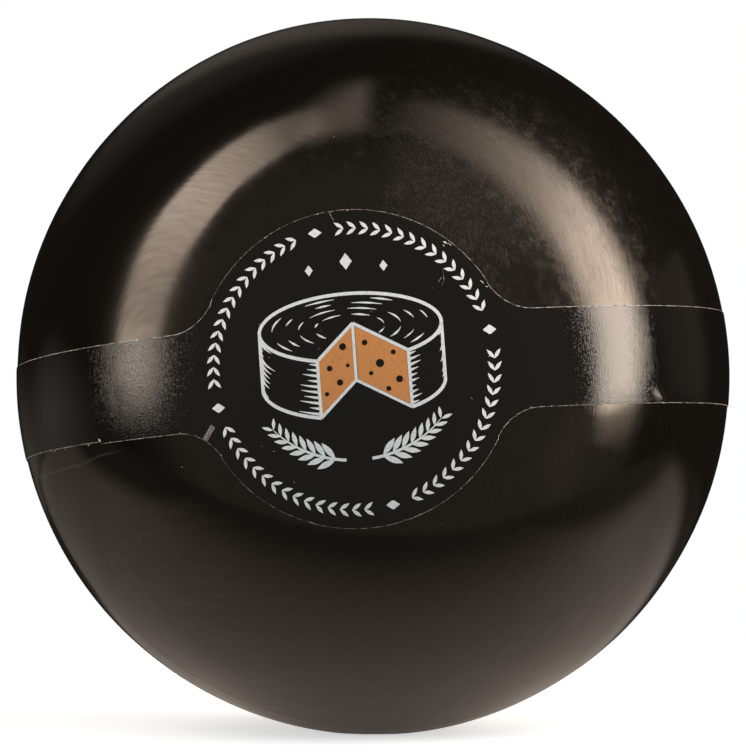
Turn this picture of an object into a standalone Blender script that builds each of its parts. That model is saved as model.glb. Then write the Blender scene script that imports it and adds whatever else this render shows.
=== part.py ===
"""A ball cheese in a black wax coat, with a paper label wrapped round it.

Metres, +Z up. The origin is on the floor under the ball, in the middle of the
small flat spot that it rests on. The label's round middle faces -Y, and its
two straps run round to the back, where one laps over the other.
"""

import bmesh
import bpy
import numpy as np
from mathutils import Vector

# The ball
RADIUS = 0.060  # the mean radius, over the wax
TALLER = 0.00020  # added at the top and the bottom, and taken off round the waist
LEAN = 0.00013  # a slight bulge at the upper left and lower right
THREE_LOBES = 0.00007  # the faint three-cornered and four-cornered shape of a
FOUR_LOBES = 0.00006  # ball that was pressed in a cloth
REST_FLAT_RADIUS = 0.0062  # the flat spot underneath

# The wax: the ball was dipped one half at a time, and the front dip laps the back
DIP_STEP = 0.00025  # the front coat stands this much proud of the back one
DIP_LEAN = np.radians(11.5)  # the lap's plane leans back from upright
DIP_EDGE = np.radians(0.9)  # half the angle over which the step falls away

# The label: one die-cut piece of paper, measured in degrees on the ball
LABEL_GAP = 0.00030
LABEL_THICKNESS = 0.00030
LABEL_SIDE = 3.0  # the middle lies this far left of the ball's front
LABEL_UP = 1.3  # and this far above its waist
LABEL_TURN = 4.2  # the right strap's end is turned up by this much
DISC = 25.0  # the round middle's radius
STRAP = 7.6  # half the straps' width
FILLET = 8.0  # the rounding where a strap joins the middle
DROOP_RIGHT = 1.5  # how far each strap sags below its great circle by the side
DROOP_LEFT = 2.6
RIGHT_END = 189.0  # where each strap ends, counted round from the middle
LEFT_END = 185.0
LAP_START = 166.0  # where the right strap begins to climb over the left one
LAP_FULL = 172.0
LAP_LIFT = 0.00065

# The meshes
RINGS_PER_HALF = 18
SEGMENTS = 72
LABEL_ROWS = 8

WAX = ((0.0065, 0.0055, 0.0042), 0.24)  # colour and roughness
PAPER = ((0.0110, 0.0100, 0.0080), 0.34)


def unit(vectors):
    return vectors / np.linalg.norm(vectors, axis=-1, keepdims=True)


def dip_axis():
    """The axis that the ball was dipped along: to the front, and up a little."""
    return np.array([0.0, -np.cos(DIP_LEAN), np.sin(DIP_LEAN)])


def smooth(low, high, value):
    """0 below low, 1 above high, and an S between them."""
    t = np.clip((value - low) / (high - low), 0.0, 1.0)
    return t * t * (3.0 - 2.0 * t)


def ball_radius(direction):
    """The wax surface's distance from the ball's centre along unit directions.

    The cheese's outline seen from the front is a circle with faint waves, and
    each wave is the real or imaginary part of a power of x + iz, so that it
    dies away at the front and the back.
    """
    x, z = direction[..., 0], direction[..., 2]
    across = x + 1j * z
    radius = RADIUS + TALLER * (2.0 * z * z - 1.0)
    radius = radius - LEAN * (across**2).imag
    radius = radius + THREE_LOBES * (across**3).real
    radius = radius + FOUR_LOBES * (across**4).real
    along = np.arcsin(np.clip(direction @ dip_axis(), -1.0, 1.0))
    return radius + DIP_STEP * smooth(-DIP_EDGE, DIP_EDGE, along)


def flat_depth():
    """How far the lowest point is cut away to leave the flat spot."""
    return RADIUS - np.sqrt(RADIUS**2 - REST_FLAT_RADIUS**2)


def centre():
    """The ball's centre, standing on its flat spot."""
    down = np.array([0.0, 0.0, -1.0])
    return np.array([0.0, 0.0, float(ball_radius(down)) - flat_depth()])


def new_object(name, bm, colour, roughness):
    """An object with its own plain material, shaded smooth."""
    mesh = bpy.data.meshes.new(name)
    bmesh.ops.recalc_face_normals(bm, faces=bm.faces)
    bm.to_mesh(mesh)
    bm.free()
    mesh.shade_smooth()
    mesh.set_sharp_from_angle(angle=np.radians(40.0))
    material = bpy.data.materials.new(name)
    material.use_nodes = True
    shader = material.node_tree.nodes["Principled BSDF"]
    shader.inputs["Base Color"].default_value = (*colour, 1.0)
    shader.inputs["Roughness"].default_value = roughness
    shader.inputs["Metallic"].default_value = 0.0
    mesh.materials.append(material)
    thing = bpy.data.objects.new(name, mesh)
    bpy.context.scene.collection.objects.link(thing)
    return thing


def add_grid(bm, points, wrap):
    """Adds a grid of points as quads, and gives its vertices back, row by row."""
    rows = [[bm.verts.new(point) for point in row] for row in points.tolist()]
    count = len(rows[0])
    steps = count if wrap else count - 1
    for upper, lower in zip(rows, rows[1:]):
        for i in range(steps):
            j = (i + 1) % count
            bm.faces.new((upper[i], upper[j], lower[j], lower[i]))
    return rows


def make_ball():
    """Rings about the dip axis, so that one pair of them follows the lap."""
    front = dip_axis()
    side = np.array([1.0, 0.0, 0.0])
    up = np.cross(side, front)
    half = np.linspace(0.0, np.pi / 2 - DIP_EDGE, RINGS_PER_HALF + 1)[1:]
    polar = np.concatenate([half, np.pi - half[::-1]])[:, None, None]
    turn = (np.arange(SEGMENTS) * 2 * np.pi / SEGMENTS)[None, :, None]
    direction = np.cos(polar) * front + np.sin(polar) * (
        np.cos(turn) * side + np.sin(turn) * up
    )
    bm = bmesh.new()
    rows = add_grid(bm, centre() + ball_radius(direction)[..., None] * direction, True)
    for pole, row in ((front, rows[0]), (-front, rows[-1])):
        tip = bm.verts.new((centre() + float(ball_radius(pole)) * pole).tolist())
        for i, vert in enumerate(row):
            bm.faces.new((tip, vert, row[(i + 1) % SEGMENTS]))
    whole = bm.verts[:] + bm.edges[:] + bm.faces[:]
    cut = bmesh.ops.bisect_plane(
        bm,
        geom=whole,
        dist=1e-6,
        plane_co=Vector((0.0, 0.0, 0.0)),
        plane_no=Vector((0.0, 0.0, -1.0)),
        clear_outer=True,
    )
    rim = [item for item in cut["geom_cut"] if isinstance(item, bmesh.types.BMEdge)]
    bmesh.ops.holes_fill(bm, edges=rim)
    return new_object("cheese_ball", bm, *WAX)


def label_half_width(along):
    """Half the label's width, in degrees, at an angle round from its middle.

    A circle's chord over the middle, then a concave arc that touches both the
    circle and the strap's straight edge, then the strap.
    """
    along = np.abs(along)
    fillet_height = STRAP + FILLET
    fillet_start = np.sqrt((DISC + FILLET) ** 2 - fillet_height**2)
    touch = fillet_start * DISC / (DISC + FILLET)
    inside = np.clip(np.cos(np.radians(DISC)) / np.cos(np.radians(along)), -1.0, 1.0)
    chord = np.degrees(np.arccos(inside))
    drop = np.clip(FILLET**2 - (fillet_start - along) ** 2, 0.0, None)
    arc = fillet_height - np.sqrt(drop)
    strap = np.full_like(along, STRAP)
    return np.where(along < touch, chord, np.where(along < fillet_start, arc, strap))


def label_direction(along, across):
    """Unit directions at an angle round the ball from the label's middle, and across."""
    side, up = np.radians(LABEL_SIDE), np.radians(LABEL_UP)
    middle = np.array([-np.sin(side) * np.cos(up), -np.cos(side) * np.cos(up), np.sin(up)])
    level = unit(np.cross([0.0, 0.0, 1.0], middle))
    over = np.cross(level, -middle)
    turn = np.radians(LABEL_TURN)
    right = np.cos(turn) * level + np.sin(turn) * over
    upward = np.cos(turn) * over - np.sin(turn) * level
    sag = np.where(along > 0.0, DROOP_RIGHT, DROOP_LEFT)
    a = np.radians(along)
    b = np.radians(across) - np.radians(sag) * (1.0 - np.cos(a))
    a, b = a[..., None], b[..., None]
    return np.cos(b) * (np.cos(a) * middle + np.sin(a) * right) + np.sin(b) * upward


def make_label():
    """A thin closed shell: an inner and an outer grid, joined round their edge."""
    fillet_end = DISC + FILLET - 3.0
    near = np.linspace(0.0, fillet_end, 13)
    strap = np.linspace(fillet_end, LAP_START, 21)[1:]
    left = np.concatenate([near, strap, np.linspace(LAP_START, LEFT_END, 4)[1:]])
    right = np.concatenate(
        [near, strap, [(LAP_START + LAP_FULL) / 2], np.linspace(LAP_FULL, RIGHT_END, 4)]
    )
    along = np.concatenate([-left[:0:-1], right])[:, None]
    share = np.linspace(-1.0, 1.0, LABEL_ROWS + 1)[None, :]
    across = label_half_width(along) * share
    direction = label_direction(along + 0.0 * share, across)
    climb = LAP_LIFT * smooth(LAP_START, LAP_FULL, along)
    inner = ball_radius(direction) + LABEL_GAP + climb
    bm = bmesh.new()
    low = add_grid(bm, centre() + inner[..., None] * direction, False)
    outer = inner + LABEL_THICKNESS
    high = add_grid(bm, centre() + outer[..., None] * direction, False)
    edges = (
        (low[0], high[0]),
        (low[-1], high[-1]),
        ([row[0] for row in low], [row[0] for row in high]),
        ([row[-1] for row in low], [row[-1] for row in high]),
    )
    for under, over in edges:
        for i in range(len(under) - 1):
            bm.faces.new((under[i], under[i + 1], over[i + 1], over[i]))
    return new_object("label", bm, *PAPER)


def main():
    for thing in list(bpy.data.objects):
        bpy.data.objects.remove(thing, do_unlink=True)
    make_ball()
    make_label()


main()
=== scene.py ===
"""Ball cheese in black wax, with a wrapped paper label: the looks.

Laid out as a Blender add-on and run as a script. Every piece is a surface
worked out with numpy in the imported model's own frame: metres, +Z up, the
label's round middle towards -Y, the ball standing on the floor at z = 0.
"""

import bpy
import numpy as np
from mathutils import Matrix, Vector


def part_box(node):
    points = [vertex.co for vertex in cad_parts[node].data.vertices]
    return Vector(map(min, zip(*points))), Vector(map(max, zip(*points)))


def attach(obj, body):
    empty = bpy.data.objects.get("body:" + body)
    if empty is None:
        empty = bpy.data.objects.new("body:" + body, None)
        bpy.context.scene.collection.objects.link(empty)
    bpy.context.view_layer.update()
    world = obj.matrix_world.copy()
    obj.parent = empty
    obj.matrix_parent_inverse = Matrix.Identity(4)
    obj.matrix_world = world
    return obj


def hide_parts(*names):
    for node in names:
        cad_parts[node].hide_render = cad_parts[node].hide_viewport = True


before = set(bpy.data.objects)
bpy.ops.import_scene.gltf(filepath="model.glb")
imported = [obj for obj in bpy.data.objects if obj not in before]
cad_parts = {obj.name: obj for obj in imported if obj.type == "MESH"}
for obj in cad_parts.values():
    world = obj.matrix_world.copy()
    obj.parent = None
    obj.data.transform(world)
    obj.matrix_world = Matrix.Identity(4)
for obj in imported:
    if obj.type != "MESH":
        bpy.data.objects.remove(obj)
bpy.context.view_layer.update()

bl_info = {
    "name": "Waxed ball cheese",
    "version": (1, 0, 0),
    "blender": (4, 5, 0),
    "location": "3D View > Sidebar > Cheese",
    "description": "A ball cheese in black wax with a printed paper label",
    "category": "Add Mesh",
}

BALL_LOW, BALL_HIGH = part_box("cheese_ball")
MM = 0.001
DEGREE_MM = 180.0 / np.pi / 60.0  # degrees on the ball for each millimetre

# The ball, close to the solid model's shape
TALLER = 0.22 * MM  # added at its top and bottom, and taken off round its waist
OUTLINE = ((2, 0.0, -0.13), (3, 0.07, 0.0), (4, 0.06, 0.05))  # waves, see ball_radius
CENTRE_RAISE = 0.26 * MM  # the solid ball reaches this much lower than its mean radius

# The label, in degrees on the ball
LABEL_SIDE = 3.0  # its middle lies this far left of the ball's front
LABEL_UP = 1.3  # and this far above its waist
LABEL_TURN = 4.2  # the right strap's end is turned up by this much
FILLET = 8.0  # the rounding where a strap joins the middle
DROOP_RIGHT, DROOP_LEFT = 1.5, 2.6  # how far each strap sags by the ball's side
LEFT_END, RIGHT_END = -185.0, 189.0  # where the straps end, counted from the middle
LAP_START, LAP_FULL = 168.0, 173.0  # where the right strap climbs over the left one
NOTCHED = -45.75  # where the lower edge has a nick in it
BEVEL = 0.105  # how far the cut edge slants in

# Looks
CLEAR_IOR = 1.45  # of wax and of varnish
SOFT = {"interpolation_type": "SMOOTHSTEP"}  # a range whose ends are eased
STRETCHED = {"vector_type": "TEXTURE"}  # a mapping that scales the pattern itself


# ---------------- settings


class BallSettings(bpy.types.PropertyGroup):
    """The ball's size, and its wax coat's relief and colour."""

    radius: bpy.props.FloatProperty(
        name="Radius", description="Mean radius over the wax",
        default=round((BALL_HIGH.x - BALL_LOW.x + BALL_HIGH.y - BALL_LOW.y) / 4, 4), unit="LENGTH",
    )
    rest_flat: bpy.props.FloatProperty(
        name="Rest flat", description="Radius of the flat spot underneath", default=0.0062,
        unit="LENGTH",
    )
    dip_step: bpy.props.FloatProperty(
        name="Dip step", description="How far the front coat of wax stands proud of the back one",
        default=0.0001, unit="LENGTH",
    )
    swell: bpy.props.FloatProperty(
        name="Swell", description="Height of the low waves that handling left in the wax",
        default=0.00003, unit="LENGTH",
    )
    wax_colour: bpy.props.StringProperty(
        name="Wax colour", description="sRGB hex value of the black wax", default="#0E0C09",
    )


class LabelSettings(bpy.types.PropertyGroup):
    """The die-cut label's sizes, and the colours of its paper and inks."""

    disc: bpy.props.FloatProperty(
        name="Middle", description="Radius of the round middle", default=np.radians(25.0),
        subtype="ANGLE",
    )
    strap: bpy.props.FloatProperty(
        name="Strap", description="Half the straps' width", default=np.radians(7.6),
        subtype="ANGLE",
    )
    thickness: bpy.props.FloatProperty(
        name="Paper", description="Thickness of the paper", default=0.00012, unit="LENGTH",
    )
    white_ink: bpy.props.StringProperty(
        name="White ink", description="sRGB hex value of the print's white", default="#F4F2EE",
    )
    orange_ink: bpy.props.StringProperty(
        name="Orange ink", description="sRGB hex value of the print's orange", default="#E39352",
    )
    paper_colour: bpy.props.StringProperty(
        name="Paper colour", description="sRGB hex value of the black paper", default="#0F0E0C",
    )


class StageSettings(bpy.types.PropertyGroup):
    """The floor, the lights and the camera."""

    distance: bpy.props.FloatProperty(
        name="Camera distance", description="From the camera to the middle of the ball",
        default=0.9, unit="LENGTH",
    )
    floor_radius: bpy.props.FloatProperty(
        name="Floor radius", description="Half the depth of the oval board that the ball stands on",
        default=0.2, unit="LENGTH",
    )
    floor_glow: bpy.props.FloatProperty(
        name="Floor glow", description="How bright the board looks in what mirrors it", default=0.8,
    )
    right_light: bpy.props.FloatProperty(
        name="Right softbox", description="Radiance of the right softbox, where 1 is white",
        default=14.0,
    )
    left_light: bpy.props.FloatProperty(
        name="Left softbox", description="Radiance of the left softbox, where 1 is white",
        default=8.0,
    )


# ---------------- numbers


def unit(vectors):
    return vectors / np.linalg.norm(vectors, axis=-1, keepdims=True)


def smooth(low, high, value):
    """0 before low, 1 past high, and an S between them, whichever is the greater."""
    t = np.clip((value - low) / (high - low), 0.0, 1.0)
    return t * t * (3.0 - 2.0 * t)


def dip_axis():
    """The axis the ball was dipped along: to the front, up by 12.5 degrees, right by 8."""
    up, right = np.radians(12.5), np.radians(8.0)
    return np.array([np.sin(right) * np.cos(up), -np.cos(right) * np.cos(up), np.sin(up)])


def waves(direction, count, frequency, seed):
    """A smooth random relief of about -1 to 1: the mean of plane waves in all directions."""
    rng = np.random.default_rng(seed)
    ways = unit(rng.normal(size=(count, 3))) * frequency
    ways *= rng.uniform(0.7, 1.3, size=(count, 1))
    phases = rng.uniform(0.0, 2.0 * np.pi, count)
    return np.sin(direction @ ways.T + phases).mean(axis=-1) * np.sqrt(2.0 * count) / 2.0


def ball_radius(direction):
    """The wax's distance from the ball's centre along unit directions.

    A circle with faint two-, three- and four-sided waves seen from the front,
    each with a share of the real and of the imaginary part of a power of
    x + iz. Hands and cloth left a low swell all over, made of plane waves. The
    front dip ends in a step with a low bead along it. All of it stays inside
    the solid model's box.
    """
    ball = bpy.context.scene.cheese_ball
    x, z = direction[..., 0], direction[..., 2]
    across = x + 1j * z
    radius = ball.radius + 0.05 * MM + TALLER * (2.0 * z * z - 1.0)
    for power, real, imaginary in OUTLINE:
        wave = across**power
        radius = radius + MM * (real * wave.real + imaginary * wave.imag)
    radius = radius + ball.swell * waves(direction, 24, 14.0, 5)
    radius = radius + 0.35 * ball.swell * waves(direction, 24, 34.0, 6)
    along = np.arcsin(np.clip(direction @ dip_axis(), -1.0, 1.0))
    edge = smooth(np.radians(-0.35), np.radians(0.25), along)
    bead = np.exp(-((along - np.radians(1.2)) / np.radians(1.2)) ** 2)
    return radius + ball.dip_step * (0.75 * edge + 0.30 * bead)


def ball_centre():
    """The centre, with the ball cut flat where it stands on z = 0."""
    ball = bpy.context.scene.cheese_ball
    flat = ball.radius - np.sqrt(ball.radius**2 - ball.rest_flat**2)
    return np.array([0.0, 0.0, ball.radius + CENTRE_RAISE - flat])


# ---------------- meshes


def grid_faces(rows, columns, wrap):
    """The quads of a grid of points, as indices, row by row."""
    index = np.arange(rows * columns).reshape(rows, columns)
    right = np.roll(index, -1, axis=1) if wrap else index[:, 1:]
    left = index if wrap else index[:, :-1]
    return np.stack([left[:-1], left[1:], right[1:], right[:-1]], axis=-1).reshape(-1, 4)


def new_object(name, data):
    """An object at the origin, linked to the scene."""
    thing = bpy.data.objects.new(name, data)
    bpy.context.scene.collection.objects.link(thing)
    return thing


def mesh_object(name, points, faces, materials, slots=None):
    """A smooth-shaded object from points and quads or triangles."""
    mesh = bpy.data.meshes.new(name)
    points = np.asarray(points, np.float32).reshape(-1, 3)
    mesh.from_pydata(points.tolist(), [], [list(f) for f in faces])
    mesh.shade_smooth()
    for material in materials:
        mesh.materials.append(material)
    if slots is not None:
        mesh.polygons.foreach_set("material_index", np.asarray(slots, np.int32))
    mesh.update()
    return new_object(name, mesh)


def finish_piece(piece, slot, *nodes):
    """The piece rides on the root and stands for its CAD nodes. Its slot is not used."""
    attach(piece, "root")
    if nodes:
        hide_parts(*nodes)


# ---------------- materials


def linear(code):
    """An sRGB hex value as linear red, green, blue and alpha."""
    value = np.array([int(code[i : i + 2], 16) for i in (1, 3, 5)]) / 255.0
    low = value <= 0.04045
    result = np.where(low, value / 12.92, ((value + 0.055) / 1.055) ** 2.4)
    return (*result.tolist(), 1.0)


def add_node(tree, kind, settings=None, **links):
    """Adds a shader node, sets its properties, and fills its inputs by value or by link.

    Settings that are a single word are the node's operation. An input is named
    by its name, with _ for a space, or by i and its number. The stops of a
    colour ramp are pairs of a place and a grey value or a colour.
    """
    node = tree.nodes.new("ShaderNode" + kind)
    if isinstance(settings, str):
        settings = {"operation": settings}
    for name, value in (settings or {}).items():
        if name != "stops":
            setattr(node, name, value)
            continue
        marks = node.color_ramp.elements
        for number, (place, colour) in enumerate(value):
            last = number == len(value) - 1
            mark = marks[0] if number == 0 else marks[-1] if last else marks.new(place)
            mark.position = place
            mark.color = (*np.broadcast_to(colour, 3).tolist(), 1.0)
    for name, value in links.items():
        numbered = name[0] == "i" and name[1:].isdigit()
        socket = node.inputs[int(name[1:]) if numbered else name.replace("_", " ")]
        if isinstance(value, bpy.types.NodeSocket):
            tree.links.new(value, socket)
        else:
            socket.default_value = value
    return node


def new_material(name):
    """An empty node material, its tree, and the place in object coordinates."""
    material = bpy.data.materials.new(name)
    material.use_nodes = True
    tree = material.node_tree
    tree.nodes.clear()
    return material, tree, add_node(tree, "TexCoord").outputs["Object"]


def crease_relief(tree, here, creases, wander=0.0):
    """The height of fine creases in millimetres.

    Each follows a great circle between two places, in millimetres from the
    ball's centre, and has a width either side and a height. It is a ridge or a
    groove over the distance from that circle's plane, and fades at its ends.
    """
    radius = bpy.context.scene.cheese_ball.radius
    place = add_node(tree, "VectorMath", "SUBTRACT", i0=here, i1=ball_centre()).outputs[0]
    if wander:
        wobble = add_node(tree, "TexNoise", Vector=here, Scale=1 / (9 * MM), Detail=0.0).outputs[1]
        place = add_node(
            tree, "VectorMath", "MULTIPLY_ADD", i0=wobble, i1=(wander * MM,) * 3, i2=place,
        ).outputs[0]
    total = 0.0
    for start, end, width, height in creases:
        start, end = np.array(start), np.array(end)
        across = unit(np.cross(start, end))
        middle = unit(start + end)
        half = np.arccos(unit(start) @ middle)
        off = add_node(tree, "VectorMath", "DOT_PRODUCT", i0=place, i1=across).outputs[1]
        off = add_node(tree, "Math", "ABSOLUTE", i0=off).outputs[0]
        ridge = add_node(
            tree, "MapRange", Value=off, From_Min=0.0, From_Max=width * MM, To_Min=height,
            To_Max=0.0,
        ).outputs[0]
        along = add_node(tree, "VectorMath", "DOT_PRODUCT", i0=place, i1=middle).outputs[1]
        within = add_node(
            tree, "MapRange", SOFT, Value=along, From_Min=radius * np.cos(1.1 * half),
            From_Max=radius * np.cos(0.75 * half),
        ).outputs[0]
        total = add_node(tree, "Math", "MULTIPLY_ADD", i0=ridge, i1=within, i2=total).outputs[0]
    return total


def dipped_wax():
    """Black cheese wax, dipped, then wiped by hand while warm.

    A warm, nearly clear skin mirrors the lights. Wipe marks run in circles
    round one axis and brush the edges of what it mirrors: real ones are finer
    than 0.1 mm, and are drawn 0.16 mm wide to show. The polish turns hazy where
    a cloth rubbed it, above and right of the label, and a little at its left.
    Painted sheen: a pale colour stands in for the light that fine upright fibres
    and feathery scuffs scatter above the label. It fades out around the label,
    but for two places left without it. A pale painted highlight runs along a
    fine ridge under the left strap, and there are a few specks of dust.
    """
    material, tree, here = new_material("Black cheese wax, dipped and wiped")
    ball = bpy.context.scene.cheese_ball
    centre = ball_centre()
    axis = Vector((-0.585, -0.807, 0.07))
    turn = Vector((0, 0, 1)).rotation_difference(axis).to_euler()
    wiped = add_node(
        tree, "Mapping", STRETCHED, Vector=here, Location=centre, Rotation=turn,
        Scale=(4 * MM, 4 * MM, 0.16 * MM),
    ).outputs[0]
    brushed = add_node(
        tree, "Mapping", STRETCHED, Vector=here, Rotation=(0.0, -0.12, 0.0),
        Scale=(0.24 * MM, 0.24 * MM, 4.5 * MM),
    ).outputs[0]
    streaks, fibre_sheen, scuffs, patches = (
        add_node(
            tree, "TexNoise", Vector=place, Scale=scale, Detail=detail,
            Roughness=roughness, Distortion=distortion,
        ).outputs[0]
        for place, scale, detail, roughness, distortion in (
            (wiped, 1.0, 2.0, 0.6, 0.0),
            (brushed, 1.0, 2.0, 0.6, 0.3),
            (here, 1 / (2.6 * MM), 6.0, 0.78, 0.0),
            (here, 1 / (14 * MM), 2.0, 0.5, 0.0),
        )
    )
    above, left, front, sheen_gap_right, sheen_gap_top = (
        add_node(
            tree, "VectorMath", "DISTANCE", i0=here, i1=Vector(centre) + Vector(place)
        ).outputs[1]
        for place in (
            (0.024, -0.042, 0.035), (-0.036, -0.046, 0.011), (0.020, -0.048, 0.027),
            (0.0255, -0.052, 0.0145), (0.0007, -0.050, 0.033),
        )
    )
    left = add_node(tree, "Math", "MULTIPLY_ADD", i0=left, i1=2.2, i2=0.004).outputs[0]
    rubbed = add_node(tree, "Math", "MINIMUM", i0=above, i1=left).outputs[0]
    level = add_node(tree, "SeparateXYZ", Vector=here).outputs[0]
    ranges = (  # a value, where its range starts and ends, and what it becomes there
        (SOFT, rubbed, 0.012, 0.05, 1.0, 0.0),
        (SOFT, front, 0.022, 0.044, 1.0, 0.12),
        # these four shape the painted sheen: it fades out round the label, is weaker left of the
        # middle, and is left out at two places
        (SOFT, front, 0.014, 0.031, 0.8, 0.1),
        (SOFT, level, 0.0, 0.003, 0.4, 1.0),
        (SOFT, sheen_gap_right, 0.00225, 0.0075, 0.0, 1.0),
        (SOFT, sheen_gap_top, 0.0015, 0.005, 0.0, 1.0),
        (None, scuffs, 0.46, 0.74, 0.0, 0.2),
        # painted sheen: a pale colour over the scuffs and fibres that stands in for the light they
        # scatter
        (None, scuffs, 0.5, 0.68, 0.0, 1.0),
        (None, fibre_sheen, 0.46, 0.68, 0.0, 1.0),
        (None, streaks, 0.3, 0.7, 0.0, 0.3),
    )
    haze, handled, *sheen_masks, marks, scuff_sheen, painted_sheen, shine = (
        add_node(
            tree, "MapRange", settings, Value=value, From_Min=low, From_Max=high,
            To_Min=start, To_Max=end,
        ).outputs[0]
        for settings, value, low, high, start, end in ranges
    )
    haze = add_node(tree, "Math", "MULTIPLY_ADD", i0=patches, i1=0.8, i2=haze).outputs[0]
    smear = add_node(
        tree, "MapRange", Value=haze, From_Min=0.4, From_Max=1.4, To_Min=0.0, To_Max=0.07,
    ).outputs[0]
    rough = add_node(tree, "Math", "MULTIPLY_ADD", i0=marks, i1=handled, i2=smear).outputs[0]
    rough = add_node(tree, "Math", "ADD", i0=rough, i1=0.085).outputs[0]
    painted_sheen = add_node(tree, "Math", "MULTIPLY_ADD", i0=scuff_sheen, i1=0.45, i2=painted_sheen).outputs[0]
    for mask in sheen_masks:
        painted_sheen = add_node(tree, "Math", "MULTIPLY", i0=painted_sheen, i1=mask).outputs[0]
    # painted highlight: a pale line along a fine ridge under the left strap, added to the painted
    # sheen
    ridge_highlight = (((-56.5, -11.2, -16.8), (-38.0, -45.4, -10.6), 0.3, 0.85),)
    ridge_highlight = crease_relief(tree, here, ridge_highlight, 1.2)
    painted_sheen = add_node(tree, "Math", "MAXIMUM", i0=painted_sheen, i1=ridge_highlight).outputs[0]
    creases = (
        ((-39.3, -10.9, 44.0), (-41.1, -23.1, 37.1), 0.6, -0.04),
        ((-50.0, -11.0, 31.3), (-41.0, -9.5, 43.0), 0.6, -0.025),
        ((22.2, -51.4, 21.6), (22.7, -53.2, 16.0), 0.3, -0.03),
        ((35.0, -4.0, -48.5), (36.0, -12.0, -46.5), 0.5, -0.05),
        ((-24.0, -16.0, 52.6), (-33.0, -14.0, 48.0), 0.9, -0.03),
    )
    creased = crease_relief(tree, here, creases, 1.2)
    relief = add_node(tree, "Math", "MULTIPLY_ADD", i0=streaks, i1=0.0095, i2=creased).outputs[0]
    bump = add_node(tree, "Bump", Strength=1.0, Distance=MM, Height=relief).outputs[0]
    spots = add_node(tree, "TexVoronoi", {"feature": "F1"}, Vector=here, Scale=1 / (6 * MM)).outputs
    kept = add_node(tree, "SeparateColor", Color=spots["Color"]).outputs[0]
    size = add_node(
        tree, "MapRange", Value=kept, From_Min=0.6, From_Max=1.0, To_Min=0.0, To_Max=0.02,
    ).outputs[0]
    dust = add_node(tree, "Math", "LESS_THAN", i0=spots["Distance"], i1=size).outputs[0]
    colour = linear(ball.wax_colour)
    # the first mix is painted sheen and painted highlight, the second is real dust
    for factor, code in ((painted_sheen, "#322E2A"), (dust, "#9A8F7E")):
        colour = add_node(
            tree, "Mix", {"data_type": "RGBA"}, Factor=factor, i6=colour, i7=linear(code),
        ).outputs[2]
    shader = add_node(
        tree, "BsdfPrincipled", Base_Color=colour, Roughness=rough, IOR=CLEAR_IOR,
        Specular_Tint=(1.0, 0.90, 0.80, 1.0), Coat_Weight=shine, Coat_Roughness=0.14,
        Coat_IOR=CLEAR_IOR, Normal=bump, Coat_Normal=bump,
    )
    add_node(tree, "OutputMaterial", Surface=shader.outputs[0])
    return material


def varnish_bump(tree, here):
    """The varnished paper's relief, in millimetres.

    A fine grain speckles a glare's edges, and is deeper at the left. It is drawn
    0.17 mm wide, about twice the paper's own, to show. Longer level dashes lie
    over it, and a fold crosses the lower left edge.
    """
    grain = add_node(tree, "TexNoise", Vector=here, Scale=1 / (0.17 * MM), Detail=0.0).outputs[0]
    level = add_node(
        tree, "Mapping", STRETCHED, Vector=here, Scale=(0.9 * MM, 0.9 * MM, 0.16 * MM),
    ).outputs[0]
    dashes = add_node(
        tree, "TexNoise", Vector=level, Scale=1.0, Detail=1.0, Roughness=0.4,
    ).outputs[0]
    creases = (((-27.6, -52.0, -12.6), (-25.6, -53.6, -9.2), 0.9, 0.22),)
    side = add_node(tree, "SeparateXYZ", Vector=here).outputs[0]
    depth = add_node(
        tree, "MapRange", Value=side, From_Min=-0.045, From_Max=0.045, To_Min=0.027, To_Max=0.0155,
    ).outputs[0]
    relief = add_node(
        tree, "Math", "MULTIPLY_ADD", i0=grain, i1=depth, i2=crease_relief(tree, here, creases),
    ).outputs[0]
    relief = add_node(tree, "Math", "MULTIPLY_ADD", i0=dashes, i1=0.006, i2=relief).outputs[0]
    return add_node(tree, "Bump", Strength=1.0, Distance=MM, Height=relief).outputs[0]


def varnished(tree, here, colour, roughness):
    """Gives a material its gloss varnish over a colour."""
    shader = add_node(
        tree, "BsdfPrincipled", Base_Color=colour, Roughness=roughness, IOR=CLEAR_IOR,
        Normal=varnish_bump(tree, here),
    )
    add_node(tree, "OutputMaterial", Surface=shader.outputs[0])


def coated_paper():
    """Black paper under a gloss varnish. Its grain breaks up the edges of a glare."""
    material, tree, here = new_material("Black label paper, varnished")
    label = bpy.context.scene.cheese_label
    varnished(tree, here, linear(label.paper_colour), 0.06)
    return material


def cut_paper():
    """The label's cut edge: bare white core, smeared black where the blade dragged ink."""
    material, tree, here = new_material("White paper core, die-cut")
    smears = add_node(tree, "TexNoise", Vector=here, Scale=1 / (0.9 * MM), Detail=3.0).outputs[0]
    colour = add_node(
        tree, "ValToRGB", {"stops": [(0.4, linear("#5A5650")[:3]), (0.62, linear("#DAD5CC")[:3])]},
        Fac=smears,
    ).outputs[0]
    shader = add_node(tree, "BsdfPrincipled", Base_Color=colour, Roughness=0.8)
    add_node(tree, "OutputMaterial", Surface=shader.outputs[0])
    return material


def printing_ink(name, code):
    """Opaque ink under the label's own varnish, a little thin and uneven in places."""
    material, tree, here = new_material(name)
    cover = add_node(tree, "TexNoise", Vector=here, Scale=1 / (0.4 * MM), Detail=3.0).outputs[0]
    full = np.array(linear(code)[:3])
    stops = [(0.3, 0.8 * full), (0.5, full)]
    colour = add_node(tree, "ValToRGB", {"stops": stops}, Fac=cover).outputs[0]
    varnished(tree, here, colour, 0.15)
    return material


# ---------------- the ball


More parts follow.
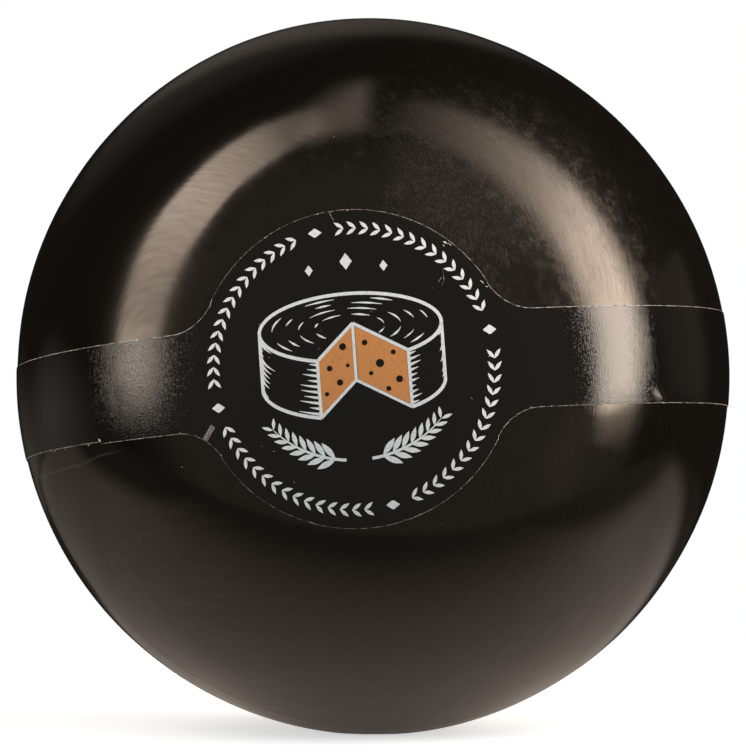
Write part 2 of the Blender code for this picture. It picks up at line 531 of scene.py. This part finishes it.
class CHEESE_OT_ball(bpy.types.Operator):
    """Makes the waxed ball."""

    bl_idname = "cheese.make_ball"
    bl_label = "Make the waxed ball"

    def execute(self, context):
        """Rings about the dip axis, close together at the dip's edge.

        A ring's polar angle and a point's turn give a direction, and the point
        lies along it at ball_radius. Points under the floor are lifted to it,
        which leaves the rest flat. The turn runs anticlockwise seen from the front, so
        that the faces point outwards.
        """
        front = dip_axis()
        side = unit(np.cross([0.0, 0.0, 1.0], front))
        up = np.cross(front, side)
        lap_start, lap_end = 88.0, 92.0  # in degrees from the front pole
        near = np.radians(np.linspace(0.0, lap_start, 100))[1:]
        lap = np.radians(np.linspace(lap_start, lap_end, 41))[1:-1]
        polar = np.concatenate([near, lap, np.pi - near[::-1]])[:, None, None]
        count = 360
        turn = (np.arange(count) * 2 * np.pi / count)[None, :, None]
        direction = np.cos(polar) * front + np.sin(polar) * (
            np.cos(turn) * side + np.sin(turn) * up
        )
        ends = np.stack([front, -front])
        points = ball_centre() + ball_radius(direction)[..., None] * direction
        tips = ball_centre() + ball_radius(ends)[..., None] * ends
        rows = points.shape[0]
        points = np.concatenate([points.reshape(-1, 3), tips])
        points[:, 2] = np.maximum(points[:, 2], 0.0)
        faces = grid_faces(rows, count, True).tolist()
        ring = np.arange(count)
        after = np.roll(ring, -1)
        last = (rows - 1) * count
        faces += np.stack([np.full(count, rows * count), ring, after], -1).tolist()
        faces += np.stack(
            [np.full(count, rows * count + 1), last + after, last + ring], -1
        ).tolist()
        piece = mesh_object("waxed_ball", points, faces, [dipped_wax()])
        finish_piece(piece, "wax", "cheese_ball")
        return {"FINISHED"}


# ---------------- the label


def half_width(along):
    """Half the label's width in degrees at an angle round from its middle.

    A circle's chord over the middle, then a concave arc that touches both the
    circle and the strap's straight edge, then the strap.
    """
    label = bpy.context.scene.cheese_label
    disc, strap = np.degrees(label.disc), np.degrees(label.strap)
    along = np.abs(along)
    height = strap + FILLET
    start = np.sqrt((disc + FILLET) ** 2 - height**2)
    touch = start * disc / (disc + FILLET)
    inside = np.clip(np.cos(np.radians(disc)) / np.cos(np.radians(along)), -1.0, 1.0)
    chord = np.degrees(np.arccos(inside))
    hollow = height - np.sqrt(np.clip(FILLET**2 - (start - along) ** 2, 0.0, None))
    return np.where(along < touch, chord, np.where(along < start, hollow, strap))


def label_axes():
    """Unit vectors: out through the label's middle, along to the right, and across."""
    side, up, turn = np.radians((LABEL_SIDE, LABEL_UP, LABEL_TURN))
    middle = np.array([-np.sin(side) * np.cos(up), -np.cos(side) * np.cos(up), np.sin(up)])
    level = unit(np.cross([0.0, 0.0, 1.0], middle))
    over = np.cross(level, -middle)
    right = np.cos(turn) * level + np.sin(turn) * over
    upward = np.cos(turn) * over - np.sin(turn) * level
    return middle, right, upward


def label_direction(along, across):
    """Unit directions at degrees round the ball from the label's middle, and across."""
    middle, right, upward = label_axes()
    sag = np.where(along > 0.0, DROOP_RIGHT, DROOP_LEFT)
    a = np.radians(along)
    b = np.radians(across) - np.radians(sag) * (1.0 - np.cos(a))
    a, b = a[..., None], b[..., None]
    return np.cos(b) * (np.cos(a) * middle + np.sin(a) * right) + np.sin(b) * upward


def label_height(along, across, direction):
    """How far the label's underside stands off the wax, in metres.

    The paper lies 0.03 mm off, and rises where the right strap laps the left
    one. It waves gently, and has a dimple in the left strap and a lifted flap
    at the right strap's lower edge, each a smooth rise and fall over a distance
    in millimetres.
    """
    x, y = along / DEGREE_MM, across / DEGREE_MM
    height = 0.03 + 0.2 * smooth(LAP_START, LAP_FULL, along)
    height = height + 0.012 * (1.0 + waves(direction, 20, 48.0, 8))
    dimple = np.exp(-(((x + 42.7) / 0.9) ** 2) - ((y + 1.1) / 1.6) ** 2)
    ridge = x - 57.7 - 0.75 * (-8.0 - y)
    flap = np.where(ridge < 0.0, smooth(-2.6, 0.0, ridge), smooth(0.5, 0.0, ridge))
    flap = flap * smooth(-4.8, -7.6, y)
    return (height - 0.02 * dimple + 0.26 * flap) * MM


def sheet_points(along, across, lift):
    """Points over the ball at degrees along and across the label, lifted off it."""
    along, across = np.broadcast_arrays(along, across)
    direction = label_direction(along, across)
    height = ball_radius(direction) + label_height(along, across, direction) + lift
    return ball_centre() + height[..., None] * direction


class CHEESE_OT_label(bpy.types.Operator):
    """Makes the paper label."""

    bl_idname = "cheese.make_label"
    bl_label = "Make the label"

    def execute(self, context):
        """A grid round the ball and across the label, with a slanted cut edge.

        Rows lie at equal steps along the label's outline, three times closer at
        the front. The top sheet stands the paper's thickness over the underside,
        and its rim is pulled in by the bevel's width. A nick lifts the left
        strap's lower edge by a third of a degree.
        """
        label = context.scene.cheese_label
        fine = np.linspace(LEFT_END, RIGHT_END, 8001)
        slope = np.gradient(half_width(fine), fine)
        step = np.sqrt(1 + slope**2) * np.where(np.abs(fine) < 80.0, 3.0, 1.0)
        length = np.cumsum(step) - step[0]
        rows, columns = 720, 65
        along = np.interp(np.linspace(0.0, length[-1], rows), length, fine)[:, None]
        share = np.linspace(-1.0, 1.0, columns)[None, :]
        nick = smooth(NOTCHED + 0.15, NOTCHED - 0.15, along) * smooth(0.0, -1.0, share)
        width = half_width(along)
        bevel = BEVEL * np.sqrt(1 + np.interp(along, fine, slope) ** 2)
        top = sheet_points(along, (width - bevel) * share + 0.33 * nick, label.thickness)
        under = sheet_points(along, width * share + 0.33 * nick, 0.0)
        size = rows * columns
        faces = grid_faces(rows, columns, False)
        index = np.arange(size).reshape(rows, columns)
        rims = []
        for line in (index[:, 0], index[-1], index[::-1, -1], index[0, ::-1]):
            a, b = line[:-1], line[1:]
            rims.append(np.stack([a, b, b + size, a + size], -1))
        rims = np.concatenate(rims)
        points = np.concatenate([top.reshape(-1, 3), under.reshape(-1, 3)])
        every = np.concatenate([faces, rims[:, ::-1], faces[:, ::-1] + size])
        slots = np.zeros(len(every), int)
        slots[len(faces) : len(faces) + len(rims)] = 1
        piece = mesh_object("paper_label", points, every, [coated_paper(), cut_paper()], slots)
        piece.data.set_sharp_from_angle(angle=np.radians(25.0))
        finish_piece(piece, "label_paper", "label")
        return {"FINISHED"}


# ---------------- the print


def stroke(path, width, step=0.5):
    """A line with a width, in millimetres on the label, as a grid of n points by 2.

    The path is evened out to equal steps, and each side lies half the width
    off it along its normal. A width of two numbers or more is spread over it.
    """
    path = np.asarray(path, float)
    pace = np.hypot(*np.diff(path, axis=0).T)
    length = np.concatenate([[0.0], np.cumsum(pace)])
    count = max(4, int(length[-1] / step) + 1)
    places = np.linspace(0.0, length[-1], count)
    line = np.stack([np.interp(places, length, path[:, i]) for i in (0, 1)], -1)
    widths = np.atleast_1d(np.asarray(width, float))
    half = 0.5 * np.interp(np.linspace(0, 1, count), np.linspace(0, 1, len(widths)), widths)
    ways = unit(np.gradient(line, axis=0))
    normal = np.stack([-ways[:, 1], ways[:, 0]], -1) * half[:, None]
    return np.stack([line - normal, line + normal], 1)


def arc(middle, radii, start, end, count=49):
    """Points of an ellipse's arc, from one angle to another in degrees."""
    turn = np.radians(np.linspace(start, end, count))
    return np.stack(
        [middle[0] + radii[0] * np.cos(turn), middle[1] + radii[1] * np.sin(turn)], -1
    )


def patch(corners, count=10):
    """A four-sided area as a grid. Its corners run round it from the lower left."""
    a, b, c, d = np.asarray(corners, float)
    u, v = np.linspace(0.0, 1.0, count)[:, None, None], np.linspace(0.0, 1.0, count)[:, None]
    return (1.0 - v) * ((1.0 - u) * a + u * b) + v * ((1.0 - u) * d + u * c)


def print_object(name, shapes, material, lift):
    """Lays strokes and patches on the label as thin ink.

    A point x, y millimetres from the label's middle lies at the same distance
    and bearing from it on the ball.
    """
    middle, right, upward = label_axes()
    points, faces, start = [], [], 0
    for shape in shapes:
        rows, columns = shape.shape[:2]
        points.append(shape.reshape(-1, 2))
        faces.append(grid_faces(rows, columns, False) + start)
        start += rows * columns
    flat = np.concatenate(points)
    away = np.hypot(*flat.T)[:, None]
    bearing = flat / np.maximum(away, 1e-9)
    turn = np.radians(away * DEGREE_MM)
    direction = np.cos(turn) * middle + np.sin(turn) * (
        bearing[:, :1] * right + bearing[:, 1:] * upward
    )
    along = np.arctan2(direction @ right, direction @ middle)
    across = np.degrees(np.arcsin(direction @ upward))
    sag = np.where(along > 0.0, DROOP_RIGHT, DROOP_LEFT)
    across = across + sag * (1.0 - np.cos(along))
    label = bpy.context.scene.cheese_label
    places = sheet_points(np.degrees(along), across, label.thickness + lift)
    finish_piece(mesh_object(name, places, np.concatenate(faces), [material]), "label_paper")


def leaf(middle, length, width, bearing):
    """A pointed leaf: a straight stroke whose width rises and falls as a sine."""
    way = np.array([np.cos(np.radians(bearing)), np.sin(np.radians(bearing))])
    ends = np.array([-0.5, 0.5])[:, None] * length * way + np.asarray(middle)
    return stroke(ends, width * np.sin(np.linspace(0.04, np.pi - 0.04, 9)), 0.3)


def border_marks():
    """A ring of small leaves in pairs, like a plait, parted by four diamonds."""
    count, quarter = 72, 18
    inner, middle, outer = 22.3, 22.9, 23.4
    marks = []
    for number in range(count):
        turn = 360.0 / count * number + 12.0
        if number % quarter == 0:
            place = arc((0, 0), (middle, middle), turn, turn, 1)[0]
            marks.append(stroke([place - [1.1, 0], place + [1.1, 0]], (0.05, 1.7, 0.05), 0.3))
        if number % quarter in (0, 1, quarter - 1):
            continue
        for radius, bearing in ((outer, turn + 52.0), (inner, turn + 128.0)):
            place = arc((0, 0), (radius, radius), turn, turn, 1)[0]
            marks.append(leaf(place, 1.9, 0.62, bearing))
    return marks


WHEEL_MIDDLE = np.array((0.0, 6.5))  # of the wheel's top, in millimetres
WHEEL_RADII = np.array((14.6, 5.4))
WHEEL_DEPTH = np.array((0.0, 9.0))
WHEEL_HEART = WHEEL_MIDDLE + (0.5, 0.6)
NOTCH = (-112.0, -52.0)  # the wedge taken out, in degrees


def wheel_arc(share, start, end, count=33):
    """An arc of the wheel's top, shrunk to a share of its size."""
    return arc(WHEEL_MIDDLE, WHEEL_RADII * share, start, end, count)


def wheel_marks():
    """A cheese wheel in lines, with a wedge taken out of its front."""
    left, right = NOTCH
    heavy, plain, light = 0.55, 0.5, 0.45  # widths of the lines in millimetres
    marks = [
        stroke(wheel_arc(1.0, right, 360 + left, 97), heavy),
        stroke(wheel_arc(1.0, -180, left) - WHEEL_DEPTH, heavy),
        stroke(wheel_arc(1.0, right, 0) - WHEEL_DEPTH, heavy),
        stroke([WHEEL_HEART, WHEEL_HEART - WHEEL_DEPTH], light),
    ]
    for turn in (-180.0, left, right, 0.0):
        rim = wheel_arc(1.0, turn, turn, 1)[0]
        marks.append(stroke([rim, rim - WHEEL_DEPTH], plain))
        if turn in NOTCH:
            marks.append(stroke([WHEEL_HEART, rim], plain))
            marks.append(stroke([rim - WHEEL_DEPTH, WHEEL_HEART - WHEEL_DEPTH], light))
    rng = np.random.default_rng(3)
    for share in (0.86, 0.72, 0.56, 0.38):
        for start in np.arange(-42.0, 200.0, 47.0):
            start = start + rng.uniform(0.0, 8.0)
            line = wheel_arc(share, start, start + rng.uniform(14.0, 38.0), 13)
            marks.append(stroke(line, (0.06, rng.uniform(0.25, 0.42), 0.06)))
    for number in range(10):
        down = WHEEL_DEPTH * (number + 0.7) / 10.4
        for start, way, most in ((-177, 1, 30), (-3, -1, 17), (left, -1, 17), (right, 1, 11)):
            end = start + way * rng.uniform(0.3 * most, most)
            line = wheel_arc(1.0, start, end, 11) - down
            marks.append(stroke(line, (0.5, 0.3, 0.06)))
    return marks


def sprig_marks():
    """Two curved stalks with leaves under the wheel, and three diamonds over it."""
    marks = []
    for side in (-1, 1):
        stalk = arc((0, 0), (17.0, 14.6), -90 + side * 7, -90 + side * 52, 25)
        marks.append(stroke(stalk, (0.5, 0.4, 0.12)))
        for number, place in enumerate(stalk[3:25:3]):
            bearing = np.degrees(np.arctan2(place[1], place[0])) + side * 90
            size = 3.3 - 0.2 * number
            for lean in (-38, 38):
                way = np.radians(bearing + lean)
                tip = place + 0.55 * size * np.array([np.cos(way), np.sin(way)])
                marks.append(leaf(tip, size, 0.3 * size, bearing + lean))
    for x, size in ((-6.0, 0.65), (0.0, 1.0), (6.0, 0.65)):
        y = 17.2 - 0.03 * x * x
        tall = 1.4 * size
        marks.append(patch(((x - size, y), (x, y - tall), (x + size, y), (x, y + tall)), 6))
    return marks


def cut_faces():
    """The wedge's two cut faces, from the wheel's heart to its rim, a little inset."""
    left, right = (wheel_arc(1.0, turn, turn, 1)[0] for turn in NOTCH)
    faces = []
    for a, b in ((left, WHEEL_HEART), (WHEEL_HEART, right)):
        corners = np.array([a - WHEEL_DEPTH, b - WHEEL_DEPTH, b, a])
        middle = corners.mean(axis=0)
        faces.append(patch(middle + 0.93 * (corners - middle), 14))
    return faces


def cheese_eyes():
    """Small round holes on the cut faces."""
    places = (
        (-3.6, 0.2, 0.9), (-1.3, 3.5, 1.1), (-2.1, -2.1, 1.0), (-4.3, -3.8, 0.7),
        (-0.7, 0.5, 0.6), (2.2, 3.9, 0.9), (4.4, 0.5, 1.3), (6.6, 2.1, 0.8),
        (7.3, -2.2, 1.1), (2.9, -1.0, 0.7), (5.5, -3.6, 0.8),
    )
    round_off = np.sqrt(1.0 - np.linspace(-0.99, 0.99, 25) ** 2)
    return [
        stroke([(x - size / 2, y), (x + size / 2, y)], size * round_off, size / 14)
        for x, y, size in places
    ]


def worn_marks():
    """Where the print is rubbed off: flecks and scratches, most of them at the edge."""
    rubbed = (  # a path, its widths, and the step along it
        (((16.0, 19.7), (16.7, 19.2)), (0.1, 0.34, 0.1), 0.1),
        (((16.8, 19.4), (17.3, 18.9)), (0.1, 0.22, 0.05), 0.1),
        (((15.9, 19.2), (16.1, 18.8)), (0.05, 0.16, 0.05), 0.1),
        (((21.6, 12.9), (22.1, 12.4)), (0.08, 0.28, 0.08), 0.1),
        (((22.3, 11.9), (22.8, 11.8)), (0.05, 0.18, 0.05), 0.1),
        (((15.2, 12.3), (15.6, 13.4), (15.5, 14.9)), (0.03, 0.09, 0.03), 0.2),
        (((14.6, 12.9), (15.3, 13.7)), (0.03, 0.07, 0.03), 0.2),
        (((-2.3, 25.9), (-1.6, 24.3)), (0.08, 0.1, 0.02), 0.2),
        (((-47.8, -8.8), (-47.4, -9.3)), (0.2, 0.5, 0.25), 0.1),
    )
    marks = [stroke(*mark) for mark in rubbed]
    rng = np.random.default_rng(12)
    flecks, scuffs = 26, 60
    for away, bearing, turn in rng.uniform((4.0, 0.0, 0.0), (25.0, 360.0, 180.0), (flecks, 3)):
        place = arc((0, 0), (away, away), bearing, bearing, 1)[0]
        way = 0.5 * rng.uniform(0.1, 0.5) * np.array([np.cos(turn), np.sin(turn)])
        marks.append(stroke([place - way, place + way], (0.03, 0.08, 0.03), 0.05))
    middle, right, upward = label_axes()
    for along in rng.uniform(-70.0, 70.0, scuffs):
        side = rng.choice((-1.0, 1.0))
        edge = side * (half_width(np.array([along, along + 0.3])) - rng.uniform(0.1, 0.22))
        way = label_direction(np.array([along, along + 0.3]), edge)
        away = np.degrees(np.arccos(way @ middle)) / DEGREE_MM
        bearing = np.arctan2(way @ upward, way @ right)
        ends = away[:, None] * np.stack([np.cos(bearing), np.sin(bearing)], -1)
        ends[1] = ends[0] + (ends[1] - ends[0]) * rng.uniform(0.4, 1.4)
        marks.append(stroke(ends, (0.05, rng.uniform(0.08, 0.16), 0.05), 0.1))
    return marks


class CHEESE_OT_print(bpy.types.Operator):
    """Makes the label's generic print: a plaited ring, a cheese wheel and two sprigs."""

    bl_idname = "cheese.make_print"
    bl_label = "Make the label's print"

    def execute(self, context):
        label = context.scene.cheese_label
        white = printing_ink("White label ink, varnished", label.white_ink)
        orange = printing_ink("Orange label ink, varnished", label.orange_ink)
        black = printing_ink("Black label ink, varnished", label.paper_colour)
        first, second, third = 0.010 * MM, 0.016 * MM, 0.022 * MM  # one ink over another
        print_object("label_print_orange", cut_faces(), orange, first)
        marks = border_marks() + wheel_marks() + sprig_marks()
        print_object("label_print_white", marks, white, second)
        print_object("label_print_black", cheese_eyes(), black, third)
        print_object("label_worn_paper", worn_marks(), cut_paper(), first)
        return {"FINISHED"}


# ---------------- the stage


def lit_board(middle, wider):
    """A pale board that stands for the whole floor, and for what is white near it.

    To the lens it is a neutral white. What mirrors it sees a glow painted with
    the warm white of the lights, in steps from front to back, with a painted
    shadow close under the ball and painted shade towards the left, at its rim,
    at its slanted far edge, and at its two front corners, which are cut off.
    """
    glow = bpy.context.scene.cheese_stage.floor_glow
    material, tree, here = new_material("Pale board")
    path = add_node(tree, "LightPath").outputs["Is Camera Ray"]
    shown = add_node(
        tree, "BsdfPrincipled", Base_Color=(0.82, 0.88, 0.92, 1), Roughness=0.9,
        Specular_IOR_Level=0.0, Emission_Color=(1, 1, 1, 1), Emission_Strength=0.6,
    )
    x, y, _ = add_node(tree, "SeparateXYZ", Vector=here).outputs
    away = add_node(tree, "VectorMath", "LENGTH", i0=here).outputs[1]
    back = add_node(tree, "MapRange", Value=y, From_Min=-0.06, From_Max=0.12).outputs[0]
    warm = np.array((1.0, 0.84, 0.72))
    steps = ((0.0, 0.85), (0.2, 0.8), (0.3, 0.7), (0.42, 0.52), (0.57, 0.45), (1.0, 0.3))
    stops = [(place, value * warm) for place, value in steps]
    ramp = add_node(tree, "ValToRGB", {"stops": stops}, Fac=back)
    slanted = add_node(tree, "Math", "MULTIPLY_ADD", i0=x, i1=1.6, i2=0.128).outputs[0]
    slanted = add_node(tree, "Math", "MINIMUM", i0=slanted, i1=0.0).outputs[0]
    slanted = add_node(tree, "Math", "ADD", i0=slanted, i1=y).outputs[0]
    oval = add_node(tree, "VectorMath", "MULTIPLY", i0=here, i1=(1 / wider, 1.0, 1.0)).outputs[0]
    rim = add_node(
        tree, "VectorMath", "DISTANCE", i0=oval, i1=middle / (wider, 1.0, 1.0),
    ).outputs[1]
    beside = add_node(tree, "Math", "ADD", i0=x, i1=0.0167).outputs[0]
    beside = add_node(tree, "Math", "ABSOLUTE", i0=beside).outputs[0]
    corner = add_node(tree, "Math", "MULTIPLY_ADD", i0=beside, i1=-0.75, i2=y).outputs[0]
    # painted light for what mirrors the board: a painted shadow close under the ball, and painted
    # shade at the rim, the corners, the left and the far edge
    rim, corner, near, aside, behind = (
        add_node(
            tree, "MapRange", settings, Value=value, From_Min=low, From_Max=high,
            To_Min=start, To_Max=end,
        ).outputs[0]
        for settings, value, low, high, start, end in (
            (SOFT, rim, 0.155, 0.197, glow, 0.15),
            (SOFT, corner, -0.130, -0.098, 0.12, glow),
            (SOFT, away, 0.006, 0.035, 0.2, 1.0),
            (None, x, -0.08, 0.08, 0.81, 1.19),
            (SOFT, slanted, 0.055, 0.105, 1.0, 0.1),
        )
    )
    light = add_node(tree, "Math", "MINIMUM", i0=rim, i1=corner).outputs[0]
    for factor in (near, aside, behind):
        light = add_node(tree, "Math", "MULTIPLY", i0=light, i1=factor).outputs[0]
    mirrored = add_node(tree, "Emission", Color=ramp.outputs[0], Strength=light)
    both = add_node(tree, "MixShader", i0=path, i1=mirrored.outputs[0], i2=shown.outputs[0])
    add_node(tree, "OutputMaterial", Surface=both.outputs[0])
    return material


class CHEESE_OT_stage(bpy.types.Operator):
    """Makes the floor, the lights, the white surroundings and the camera."""

    bl_idname = "cheese.make_stage"
    bl_label = "Make the stage"

    def execute(self, context):
        stage = context.scene.cheese_stage
        self.floor(stage.floor_radius)
        right = (
            (-16, 0.02), (-14, 0.055), (-12, 0.09), (-10, 0.13), (-8, 0.18), (-7, 0.38),
            (-5.8, 1.0), (18, 0.97), (24, 0.8), (32, 0.76), (38, 0.64), (44, 0.42),
            (52, 0.25), (66, 0.105), (74, 0.06), (80, 0.02),
        )
        left = (
            (-12, 0.04), (-10, 0.08), (-8, 0.19), (-6, 0.5), (-4, 0.72), (-1, 0.86),
            (3, 1.0), (7, 0.94), (12, 0.66), (18, 0.56), (30, 0.78), (45, 0.92),
            (60, 0.58), (70, 0.22), (80, 0.1),
        )
        even = ((0, 1.0), (10, 1.0))
        faded = ((72.5, 0.0), (77, 0.2), (82, 0.75), (86, 1.0))
        warm, cool = (1.0, 0.85, 0.72), (0.6, 0.84, 1.0)
        self.softbox("right softbox", 82.5, 34, (0.22, 1.44), stage.right_light, warm, right, 0.075)
        self.softbox("left softbox", -77.8, 34, (0.185, 1.24), stage.left_light, warm, left)
        top = self.softbox("top panel", -90.0, 81, (0.25, 0.18), 1.2, warm, faded, -1.2)
        top.location.y += 0.02
        self.softbox("right wall", 115.5, 7.5, (0.28, 0.24), 0.1, warm, even)
        fill = self.softbox("front fill", 0.0, 12, (0.8, 0.8), 1.0, cool, even)
        fill.visible_glossy = False
        self.surroundings()
        self.camera(stage.distance)
        context.scene.view_settings.view_transform = "Standard"
        return {"FINISHED"}

    def floor(self, depth):
        """A pale oval board under the ball and behind it: rings round its middle."""
        rings, count = 12, 96
        middle, wider = np.array([-0.03, 0.115, 0.0]), 1.4
        radius = np.linspace(0.0, depth, rings + 1)[1:, None]
        turn = np.arange(count)[None, :] * 2 * np.pi / count
        x, y = wider * radius * np.cos(turn), radius * np.sin(turn)
        points = np.stack([x, y, 0 * x], -1).reshape(-1, 3) + middle
        points = np.concatenate([points, middle[None]])
        ring = np.arange(count)
        fan = np.stack([ring, np.roll(ring, -1), np.full(count, rings * count)], -1)
        faces = grid_faces(rings, count, True).tolist() + fan.tolist()
        mesh_object("floor", points, faces, [lit_board(middle, wider)])

    def softbox(self, name, azimuth, rise, size, radiance, colour, levels, slant=0.0):
        """A soft light aimed at the ball, 0.6 m off. Azimuth 0 is the camera's side.

        Its brightness is graded up its height: levels gives it at degrees of
        elevation, seen from the ball. A slant slides that scale up by so much of
        the height from one side to the other.
        """
        away = 0.6
        light = bpy.data.lights.new(name, "AREA")
        light.shape = "RECTANGLE"
        light.size, light.size_y = size
        light.energy = radiance * size[0] * size[1] * np.pi
        light.color = colour
        light.use_nodes = True
        tree = light.node_tree
        tree.nodes.clear()
        place = add_node(tree, "NewGeometry").outputs["Parametric"]
        x, y, _ = add_node(tree, "SeparateXYZ", Vector=place).outputs
        angles, values = np.array(levels).T
        stops = zip(0.5 + away * np.tan(np.radians(angles - rise)) / size[1], values)
        height = add_node(tree, "Math", "MULTIPLY_ADD", i0=x, i1=-slant, i2=y).outputs[0]
        height = add_node(tree, "Math", "ADD", i0=height, i1=slant / 2).outputs[0]
        ramp = add_node(tree, "ValToRGB", {"stops": list(stops)}, Fac=height)
        shine = add_node(tree, "Emission", Strength=ramp.outputs[0])
        add_node(tree, "OutputLight", Surface=shine.outputs[0])
        lamp = new_object(name, light)
        a, rise = np.radians(azimuth), np.radians(rise)
        out = Vector((np.sin(a) * np.cos(rise), -np.cos(a) * np.cos(rise), np.sin(rise)))
        lamp.location = Vector(ball_centre()) + out * away
        lamp.rotation_mode = "QUATERNION"
        lamp.rotation_quaternion = (-out).to_track_quat("-Z", "Y")
        lamp.visible_camera = False
        return lamp

    def surroundings(self):
        """White behind the object, and a dim warm room for it to mirror."""
        world = bpy.data.worlds.new("White surroundings")
        world.use_nodes = True
        tree = world.node_tree
        tree.nodes.clear()
        seen = add_node(tree, "Background", Color=(1, 1, 1, 1), Strength=1.0)
        way = add_node(tree, "TexCoord").outputs["Generated"]
        total = 0.009  # the room, where nothing in it glows
        glows = (  # towards, the cosines off it where each starts and is full, and radiance
            ((0.45, -0.28, 0.85), 0.88, 0.99, 0.18),
            ((0.0, -1.0, 0.0), 0.07, 0.48, 0.26),
            ((0.91, -0.20, -0.37), 0.945, 0.995, 0.19),
            ((-0.28, 0.80, 0.53), 0.92, 0.99, 0.05),
            ((-0.80, 0.52, -0.30), 0.90, 0.985, 0.25),
            ((-0.39, 0.89, -0.23), 0.96, 0.995, 0.11),
            ((-0.06, 0.90, 0.43), 0.955, 0.99, 0.08),
        )
        for towards, low, high, value in glows:
            facing = add_node(tree, "VectorMath", "DOT_PRODUCT", i0=way, i1=towards).outputs[1]
            glow = add_node(
                tree, "MapRange", SOFT, Value=facing, From_Min=low, From_Max=high, To_Min=0.0,
                To_Max=value,
            ).outputs[0]
            total = add_node(tree, "Math", "ADD", i0=glow, i1=total).outputs[0]
        room = add_node(tree, "Background", Color=(1.0, 0.86, 0.75, 1), Strength=total)
        path = add_node(tree, "LightPath").outputs["Is Camera Ray"]
        both = add_node(tree, "MixShader", i0=path, i1=room.outputs[0], i2=seen.outputs[0])
        add_node(tree, "OutputWorld", Surface=both.outputs[0])
        bpy.context.scene.world = world

    def camera(self, distance):
        """Level with the ball's middle, straight in front, through a long lens."""
        data = bpy.data.cameras.new("camera")
        camera = new_object("camera", data)
        radius = bpy.context.scene.cheese_ball.radius
        share = 0.9472  # of the picture's width, for a ball of the mean radius
        data.sensor_width = 36.0
        data.lens = share * data.sensor_width / 2.0 * np.sqrt((distance / radius) ** 2 - 1.0)
        middle = ball_centre()
        data.shift_x = 0.0009
        camera.location = (middle[0], middle[1] - distance, middle[2] + 0.13 * MM)
        camera.rotation_mode = "QUATERNION"
        camera.rotation_quaternion = Vector((0, 1, 0)).to_track_quat("-Z", "Y")
        bpy.context.scene.camera = camera


# ---------------- the add-on


class CHEESE_PT_panel(bpy.types.Panel):
    """Lists the steps in the order they run in."""

    bl_idname = "CHEESE_PT_panel"
    bl_label = "Waxed ball cheese"
    bl_space_type = "VIEW_3D"
    bl_region_type = "UI"
    bl_category = "Cheese"

    def draw(self, context):
        for settings in SETTINGS:
            group = getattr(context.scene, settings)
            box = self.layout.box()
            for name in group.__annotations__:
                box.prop(group, name)
        for step in STEPS:
            self.layout.operator(step.bl_idname)


SETTINGS = {
    "cheese_ball": BallSettings,
    "cheese_label": LabelSettings,
    "cheese_stage": StageSettings,
}
STEPS = (CHEESE_OT_stage, CHEESE_OT_ball, CHEESE_OT_label, CHEESE_OT_print)
CLASSES = (*SETTINGS.values(), *STEPS, CHEESE_PT_panel)


def register():
    for thing in CLASSES:
        bpy.utils.register_class(thing)
    for name, settings in SETTINGS.items():
        setattr(bpy.types.Scene, name, bpy.props.PointerProperty(type=settings))


def unregister():
    for name in SETTINGS:
        delattr(bpy.types.Scene, name)
    for thing in reversed(CLASSES):
        bpy.utils.unregister_class(thing)


def main():
    register()
    bpy.ops.cheese.make_stage()
    bpy.ops.cheese.make_ball()
    bpy.ops.cheese.make_label()
    bpy.ops.cheese.make_print()


if __name__ == "__main__":
    main()
